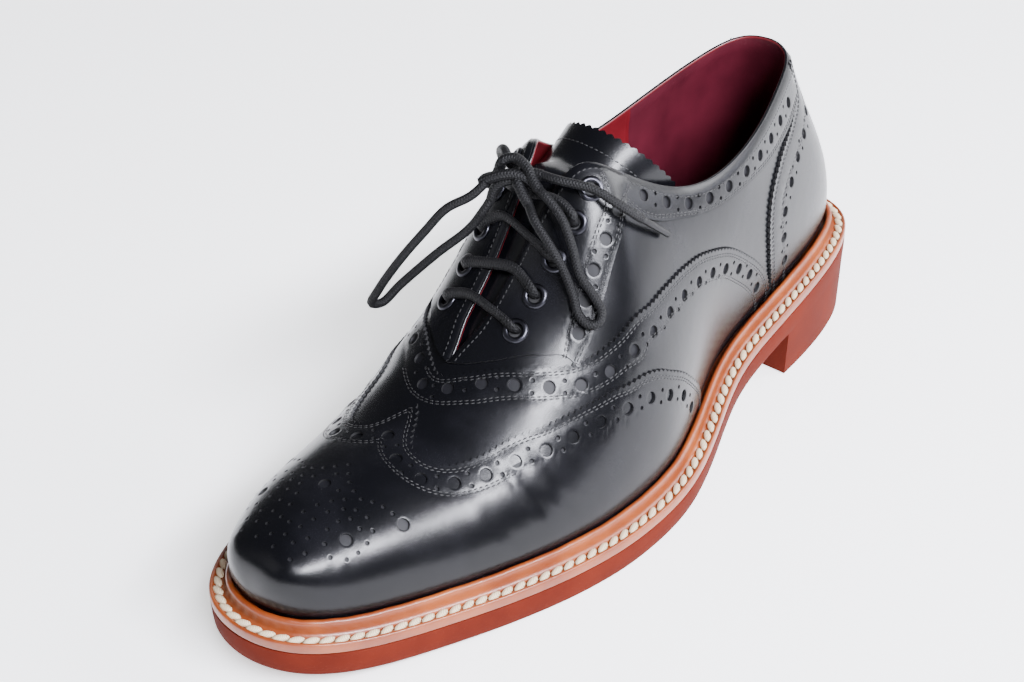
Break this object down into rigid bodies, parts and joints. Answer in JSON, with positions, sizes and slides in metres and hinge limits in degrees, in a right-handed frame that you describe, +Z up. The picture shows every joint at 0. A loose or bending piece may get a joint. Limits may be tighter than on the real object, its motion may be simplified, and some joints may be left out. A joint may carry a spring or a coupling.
{
  "type": "lace-up shoe",
  "caption": "Left leather lace-up shoe with a punched wing toe cap, open laced facings, a raised welt and a low heel.",
  "frame": {"origin": "on the floor, in the middle of the sole's length and width", "axes": "-Y towards the toe, +Y towards the heel, +X towards the outer (lateral) side, +Z up; the shoe stands on its heel and forefoot"},
  "size_m": [0.1068, 0.305, 0.1188],
  "materials": {
    "sole_rubber": "plain brick-red rubber",
    "welt_leather": "waxed tan leather with thick pale stitches",
    "insole_leather": "burgundy leather",
    "calf_leather": "polished black calf",
    "eyelet_metal": "dark gunmetal",
    "lace_cord": "waxed black cotton braid"
  },
  "bodies": {
    "root": {"outsole": "sole_rubber", "heel": "sole_rubber", "welt": "welt_leather", "insole": "insole_leather", "upper": "calf_leather", "tongue": "calf_leather", "wing_cap": "calf_leather", "vamp": "calf_leather", "counter": "calf_leather", "facing_lateral": "calf_leather", "facing_medial": "calf_leather", "collar_band_lateral": "calf_leather", "collar_band_medial": "calf_leather", "eyelet_lateral_1": "eyelet_metal", "eyelet_lateral_2": "eyelet_metal", "eyelet_lateral_3": "eyelet_metal", "eyelet_lateral_4": "eyelet_metal", "eyelet_lateral_5": "eyelet_metal", "eyelet_medial_1": "eyelet_metal", "eyelet_medial_2": "eyelet_metal", "eyelet_medial_3": "eyelet_metal", "eyelet_medial_4": "eyelet_metal", "eyelet_medial_5": "eyelet_metal", "lace_bar_1": "lace_cord", "lace_bar_2": "lace_cord", "lace_bar_3": "lace_cord", "lace_knot": "lace_cord", "lace_rise_lateral": "lace_cord", "lace_rise_medial": "lace_cord", "lace_loop_medial": "lace_cord", "lace_loop_lateral": "lace_cord", "lace_end_lateral": "lace_cord", "lace_end_medial": "lace_cord"}
  },
  "joints": []
}
